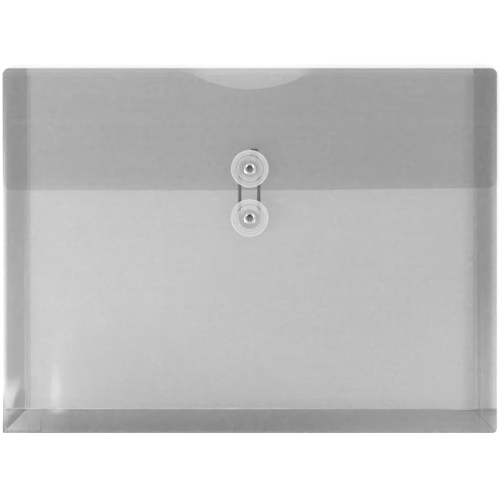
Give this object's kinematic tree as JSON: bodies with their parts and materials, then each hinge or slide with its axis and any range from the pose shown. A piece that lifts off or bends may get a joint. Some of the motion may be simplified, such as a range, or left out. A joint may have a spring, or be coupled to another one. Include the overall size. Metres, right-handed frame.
{
  "type": "string tie envelope",
  "caption": "Smoke-grey see-through plastic envelope with expanding gussets, a full-width flap and a dark string tied round button discs on metal eyelets.",
  "frame": {"origin": "middle of the envelope's outline, on the face that it lies on", "axes": "+X along the width, +Y towards the flap's fold, +Z out of the front"},
  "size_m": [0.33, 0.2435, 0.014],
  "materials": {
    "sheet": "see-through smoke polypropylene sheet with a soft sheen",
    "button": "glossy milky moulded plastic",
    "eyelet": "bright nickel plate",
    "washer": "plain milky plastic",
    "string": "braided charcoal cord"
  },
  "bodies": {
    "back": {"back_panel": "sheet", "spine_web": "sheet"},
    "bottom_gusset_back": {"bottom_gusset_back": "sheet"},
    "bottom_gusset_front": {"bottom_gusset_front": "sheet"},
    "front": {"front_panel": "sheet", "lower_eyelet": "eyelet", "lower_washer": "washer"},
    "left_gusset_back": {"left_gusset_back": "sheet"},
    "left_gusset_front": {"left_gusset_front": "sheet"},
    "right_gusset_back": {"right_gusset_back": "sheet"},
    "right_gusset_front": {"right_gusset_front": "sheet"},
    "spine": {"flap_fold": "sheet"},
    "flap": {"flap_panel": "sheet", "upper_eyelet": "eyelet", "upper_washer": "washer", "string_loop": "string", "string_knot": "string"},
    "upper_button": {"upper_button": "button"},
    "lower_button": {"lower_button": "button"}
  },
  "joints": [
    {"name": "bottom_fold", "type": "hinge", "parent": "back", "child": "bottom_gusset_back", "pos_m": [0, -0.12175, 0.00043], "axis": [1, 0, 0], "range_deg": [0, 30.5]},
    {"name": "bottom_crease", "type": "hinge", "parent": "bottom_gusset_back", "child": "bottom_gusset_front", "pos_m": [0, -0.10535, 0.00233], "axis": [-1, 0, 0], "range_deg": [0, 61]},
    {"name": "pocket_spread", "type": "hinge", "parent": "bottom_gusset_front", "child": "front", "pos_m": [0, -0.12175, 0.00422], "axis": [1, 0, 0], "range_deg": [0, 30]},
    {"name": "left_fold", "type": "hinge", "parent": "back", "child": "left_gusset_back", "pos_m": [-0.165, 0, 0.00043], "axis": [0, -1, 0], "range_deg": [0, 30.5]},
    {"name": "left_crease", "type": "hinge", "parent": "left_gusset_back", "child": "left_gusset_front", "pos_m": [-0.1486, 0, 0.00233], "axis": [0, 1, 0], "range_deg": [0, 61]},
    {"name": "right_fold", "type": "hinge", "parent": "back", "child": "right_gusset_back", "pos_m": [0.165, 0, 0.00043], "axis": [0, 1, 0], "range_deg": [0, 30.5]},
    {"name": "right_crease", "type": "hinge", "parent": "right_gusset_back", "child": "right_gusset_front", "pos_m": [0.1486, 0, 0.00233], "axis": [0, -1, 0], "range_deg": [0, 61]},
    {"name": "spine_rise", "type": "slide", "parent": "back", "child": "spine", "axis": [0, 0, 1], "range_m": [0, 0.0163], "deforming": ["spine_web"]},
    {"name": "flap_turn", "type": "hinge", "parent": "spine", "child": "flap", "pos_m": [0, 0.12155, 0.00443], "axis": [-1, 0, 0], "range_deg": [0, 175], "deforming": ["flap_fold", "string_loop", "string_knot"]},
    {"name": "upper_button_turn", "type": "hinge", "parent": "flap", "child": "upper_button", "pos_m": [0, 0.05455, 0.00885], "axis": [0, 0, 1], "continuous": true},
    {"name": "lower_button_turn", "type": "hinge", "parent": "front", "child": "lower_button", "pos_m": [0, 0.02185, 0.00725], "axis": [0, 0, 1], "continuous": true}
  ],
  "couplings": [
    {"joint": "bottom_fold", "follows": "pocket_spread", "ratio": 1},
    {"joint": "bottom_crease", "follows": "pocket_spread", "ratio": 2},
    {"joint": "left_fold", "follows": "pocket_spread", "ratio": 1},
    {"joint": "left_crease", "follows": "pocket_spread", "ratio": 2},
    {"joint": "right_fold", "follows": "pocket_spread", "ratio": 1},
    {"joint": "right_crease", "follows": "pocket_spread", "ratio": 2},
    {"joint": "spine_rise", "follows": "pocket_spread", "m_per_rad": 0.030346}
  ]
}
